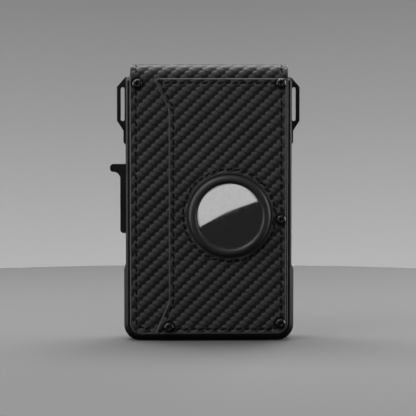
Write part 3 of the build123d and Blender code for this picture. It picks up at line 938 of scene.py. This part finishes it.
def makeTrackerShell():
    # a domed back, a rounded front edge and a well for the battery
    shell = {"radius": 15.93, "back": 1.87, "side": 5.8, "front": 8.6, "mouth": 13.65, "ledge": 5.9,
             "well": 12.2, "floor": 2.98}
    radius, dome, well = shell["radius"], shell["side"] - shell["back"], shell["well"]
    points = [(0, shell["back"])]
    for a in quarterTurn(15)[1:]:
        points.append((radius * math.sin(a) ** 0.8, shell["side"] - dome * math.cos(a) ** 1.1))
    points += [(radius, 7.3), (15.75, 7.9), (15.2, 8.35), (14.4, 8.58), (shell["mouth"], shell["front"])]
    points += [(shell["mouth"], shell["ledge"]), (well, shell["ledge"]), (well, shell["floor"]),
               (0, shell["floor"])]
    bm = bmesh.new()
    spinProfile(bm, points, 128, trackerFrame())
    finishPiece("trackerShell", bm, plastic, "tracker", ["tracker_shell"])


makeRing()
makeTrackerDisc()
makeTrackerShell()
print("tracker made")


def screwSolid(bm, matrix, shank):
    head = screwHead
    radius, height, chamfer = head["radius"], head["height"], head["chamfer"]
    floor = height - head["socketDepth"]
    profile = [(0, floor - chamfer), (head["socket"] * 0.9, floor), (head["socket"], height - chamfer),
               (head["socket"] + chamfer, height)]
    for i in range(1, 9):
        a = math.pi / 2 * i / 8
        profile.append((head["flat"] + (radius - head["flat"]) * math.sin(a),
                        head["brim"] + (height - head["brim"]) * math.cos(a)))
    profile += [(radius - 0.03, 0.06), (radius - head["foot"], 0.0), (head["shank"], 0.0),
                (head["shank"], -shank), (0, -shank)]
    one = bmesh.new()
    spinProfile(one, profile, 48, Matrix.Identity(4))
    for v in one.verts:
        r = math.hypot(v.co.x, v.co.y)
        if 0.1 < r < head["socket"] + 0.05 and v.co.z > 0.2:
            a = math.atan2(v.co.y, v.co.x)
            lobe = 1 - head["lobeDepth"] * (0.5 + 0.5 * math.cos(head["lobes"] * a))
            v.co.x *= lobe
            v.co.y *= lobe
    bmesh.ops.transform(one, matrix=matrix, verts=one.verts)
    mesh = bpy.data.meshes.new("screwTemplate")
    one.to_mesh(mesh)
    one.free()
    bm.from_mesh(mesh)
    bpy.data.meshes.remove(mesh)


def makeScrews():
    bm = bmesh.new()
    for i, (x, z, y) in enumerate(screws):
        turn = Matrix.Rotation(0.4 + 0.9 * i, 4, "Z")
        screwSolid(bm, facing(x, y + screwHead["settled"], z, -1) @ turn, screwHead["coverShank"])
    finishPiece("coverScrews", bm, oxide, "chassis", ["cover_screws"])
    bm = bmesh.new()
    low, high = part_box("clip_screws")
    seat, z = high[1] / mm - screwHead["height"], (low[2] + high[2]) / 2 / mm
    for x in (low[0] / mm + screwHead["radius"], high[0] / mm - screwHead["radius"]):
        screwSolid(bm, facing(x, seat, z, 1), screwHead["clipShank"])
    finishPiece("clipScrews", bm, oxide, "chassis", ["clip_screws"])


makeScrews()
print("screws made")


def makeMoneyClip():
    # the path follows the strip's outer face; the steel is thickened inwards from it
    clip = {"half": 12.0, "thick": 0.8, "tipRound": 4.0, "baseRound": 1.5, "baseLow": 80.0, "flexZ": 56.0,
            "touchZ": 33.5, "touchGap": 0.5, "tipLift": 0.7}
    baseY = side("rear_plate", 1, 1)
    armY = side("money_clip", 1, 1)
    radius = (armY - baseY) / 2
    bendCentreZ = side("money_clip", 1, 2) - radius
    tipZ = side("money_clip_tongue", 0, 2)
    touchY = baseY + clip["touchGap"] + clip["thick"]
    flexZ, touchZ = clip["flexZ"], clip["touchZ"]
    path = [(baseY, clip["baseLow"]), (baseY, 90.0), (baseY, bendCentreZ)]
    path += [(baseY + radius - radius * math.cos(a), bendCentreZ + radius * math.sin(a))
             for a in np.linspace(0, math.pi, 15)[1:]]
    path += [(armY, 88.0), (armY, 76.0), (armY, 66.0), (armY, flexZ + 1.5), (armY - 0.28, flexZ - 1.5)]
    path += [(armY + (touchY - armY) * 0.45, 46.0), (touchY + 0.25, touchZ + 2.2), (touchY + 0.02, touchZ)]
    path += [(touchY + 0.12, touchZ - 2.2), (touchY + clip["tipLift"], tipZ)]
    bm = bmesh.new()
    a = bm.verts.new((-clip["half"], *path[0]))
    b = bm.verts.new((clip["half"], *path[0]))
    edge = bm.edges.new((a, b))
    for one, two in zip(path, path[1:]):
        made = bmesh.ops.extrude_edge_only(bm, edges=[edge])
        fresh = newVerts(made)
        bmesh.ops.translate(bm, verts=fresh, vec=(0, two[0] - one[0], two[1] - one[1]))
        edge = next(e for e in fresh[0].link_edges if e.other_vert(fresh[0]) == fresh[1])
    tips = [v for v in bm.verts if len(v.link_edges) == 2 and abs(v.co.z - tipZ) < 0.01]
    bmesh.ops.bevel(bm, geom=tips, affect="VERTICES", offset=clip["tipRound"], segments=6, profile=0.5,
                    material=-1)
    bases = [v for v in bm.verts if len(v.link_edges) == 2 and abs(v.co.z - clip["baseLow"]) < 0.01]
    bmesh.ops.bevel(bm, geom=bases, affect="VERTICES", offset=clip["baseRound"], segments=4, profile=0.5,
                    material=-1)
    bmesh.ops.recalc_face_normals(bm, faces=bm.faces)
    bmesh.ops.solidify(bm, geom=bm.faces[:], thickness=clip["thick"])
    bmesh.ops.recalc_face_normals(bm, faces=bm.faces)
    rims = [e for e in bm.edges if len(e.link_faces) == 2 and e.calc_face_angle() > 1.0]
    bmesh.ops.bevel(bm, geom=rims, affect="EDGES", offset=0.16, segments=2, profile=0.5, material=-1)
    piece = finishPiece("moneyClip", bm, spring, None)
    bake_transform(piece)
    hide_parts("money_clip", "money_clip_tongue")


makeMoneyClip()
print("money clip folded")


cadLooks = {
    "chassis_body": metal, "rear_plate": metal, "eject_slider": metal, "rear_plate_screws": oxide,
    "slider_screws": oxide, "card_pusher": spring, "card_spring": spring, "card_spring_rivets": nickel,
    "flap_magnets": nickel, "tracker_board": board, "tracker_speaker": nickel, "tracker_battery": nickel,
}
for nodeName, look in cadLooks.items():
    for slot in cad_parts[nodeName].material_slots:
        slot.material = look


def paleMaterial(name, low, high, bottom, top):
    # a plain surface, a little lighter at one height than at the other; on the backdrop this is painted light
    # falloff
    mat, shader = newMaterial(name, (low, low, low), 0.85, specular=0.2)
    coords = addNode(mat, "ShaderNodeTexCoord")
    height = addNode(mat, "ShaderNodeSeparateXYZ", Vector=(coords, "Object"))
    share = addNode(mat, "ShaderNodeMapRange", {"From Min": bottom, "From Max": top}, Value=(height, "Z"))
    tint = ramp(mat, share, "Result", [(0.0, low), (1.0, high)])
    plug(mat, tint, "Color", shader, "Base Color")
    return mat


def makeStage():
    room = {"table": 0.36, "tableThick": 0.03, "wall": 1.6, "wallBase": -0.6, "wallTop": 2.0}
    bm = bmesh.new()
    sunk = Matrix.Translation((0, 0, -room["tableThick"] / 2))
    bmesh.ops.create_cone(bm, cap_ends=True, segments=256, radius1=room["table"], radius2=room["table"],
                          depth=room["tableThick"], matrix=sunk)
    table = meshObject("tableTop", bm, paleMaterial("paleTable", 0.095, 0.095, -0.1, 0.1))
    table.visible_glossy = False
    bm = bmesh.new()
    bmesh.ops.create_circle(bm, cap_ends=True, segments=128, radius=room["wall"],
                            matrix=Matrix.Translation((0, 0, room["wallBase"])))
    made = bmesh.ops.extrude_edge_only(bm, edges=bm.edges[:])
    bmesh.ops.translate(bm, verts=newVerts(made), vec=(0, 0, room["wallTop"] - room["wallBase"]))
    # the backdrop is painted lighter at the bottom and darker at the top as painted light falloff
    wall = meshObject("backdrop", bm, paleMaterial("paleWall", 0.74, 0.39, -0.16, 0.30))
    wall.visible_glossy = False
    wall.visible_diffuse = False


def makeLight(name, place, target, size, power, roll=0.0):
    data = bpy.data.lights.new(name, "AREA")
    data.shape = "RECTANGLE"
    data.size, data.size_y = size
    data.energy = power
    lamp = linkObject(name, data)
    lamp.location = place
    aim = (Vector(target) - Vector(place)).to_track_quat("-Z", "Y").to_matrix()
    lamp.rotation_euler = (aim @ Matrix.Rotation(roll, 3, "Z")).to_euler()
    lamp.visible_camera = False


def makeCamera():
    view = {"distance": 0.70, "azimuth": -1.5, "elevation": 3.0, "width": 0.1716, "sensor": 36,
            "target": (-0.00045, -0.0065, 0.0551)}
    a, e = math.radians(view["azimuth"]), math.radians(view["elevation"])
    back = Vector((math.sin(a) * math.cos(e), -math.cos(a) * math.cos(e), math.sin(e)))
    data = bpy.data.cameras.new("camera")
    data.sensor_width = view["sensor"]
    data.lens = view["sensor"] * view["distance"] / view["width"]
    data.clip_start = 0.01
    camera = linkObject("camera", data)
    camera.location = Vector(view["target"]) + back * view["distance"]
    camera.rotation_euler = (-back).to_track_quat("-Z", "Y").to_euler()
    bpy.context.scene.camera = camera


makeStage()
# the big soft box in front; its lower edge crosses the tracker's polished disc
softBox = {"size": (1.0, 0.5), "power": 0.92, "tilt": math.radians(24), "edge": (0.043, -0.9, 0.022)}
up = Vector((-math.sin(softBox["tilt"]), 0, math.cos(softBox["tilt"])))
boxCentre = Vector(softBox["edge"]) + up * softBox["size"][1] / 2
makeLight("softBox", boxCentre, (boxCentre.x, 0, boxCentre.z), softBox["size"], softBox["power"],
          softBox["tilt"])
makeLight("keyLight", (-0.36, -0.34, 0.62), (0, 0, 0.06), (0.30, 0.30), 3.2)
makeLight("topLight", (0.0, 0.18, 0.60), (0, 0, 0.10), (0.6, 0.3), 7.6)
makeLight("backFill", (0.45, 0.75, 0.45), (0, 0, 0.06), (0.5, 0.5), 4.0)
makeLight("rightBack", (0.70, 0.34, 0.22), (0, 0, 0.06), (0.3, 0.5), 3.5)
makeLight("leftBack", (-0.70, 0.34, 0.22), (0, 0, 0.06), (0.3, 0.5), 3.0)
makeLight("rightStrip", (0.55, -0.05, 0.14), (0.03, 0, 0.06), (0.2, 0.4), 2.0)
makeLight("leftStrip", (-0.6, -0.12, 0.14), (-0.03, 0, 0.06), (0.3, 0.4), 2.1)
makeLight("leftRim", (-0.40, 0.16, 0.42), (0, 0, 0.08), (0.5, 0.3), 1.8)
makeLight("tableLight", (0.0, -0.5, 0.9), (0.0, -0.1, 0.0), (0.5, 0.5), 1.6)
wallLight = bpy.data.lights.new("wallLight", "POINT")
wallLight.energy = 45
wallLight.shadow_soft_size = 0.05
wallLamp = linkObject("wallLight", wallLight)
wallLamp.location = (0, 0, -0.3)
wallLamp.visible_glossy = False
world = bpy.data.worlds.new("world")
world.use_nodes = True
world.node_tree.nodes["Background"].inputs["Color"].default_value = (0.02, 0.02, 0.02, 1)
bpy.context.scene.world = world
bpy.context.scene.view_settings.view_transform = "Standard"
makeCamera()
print("stage set")
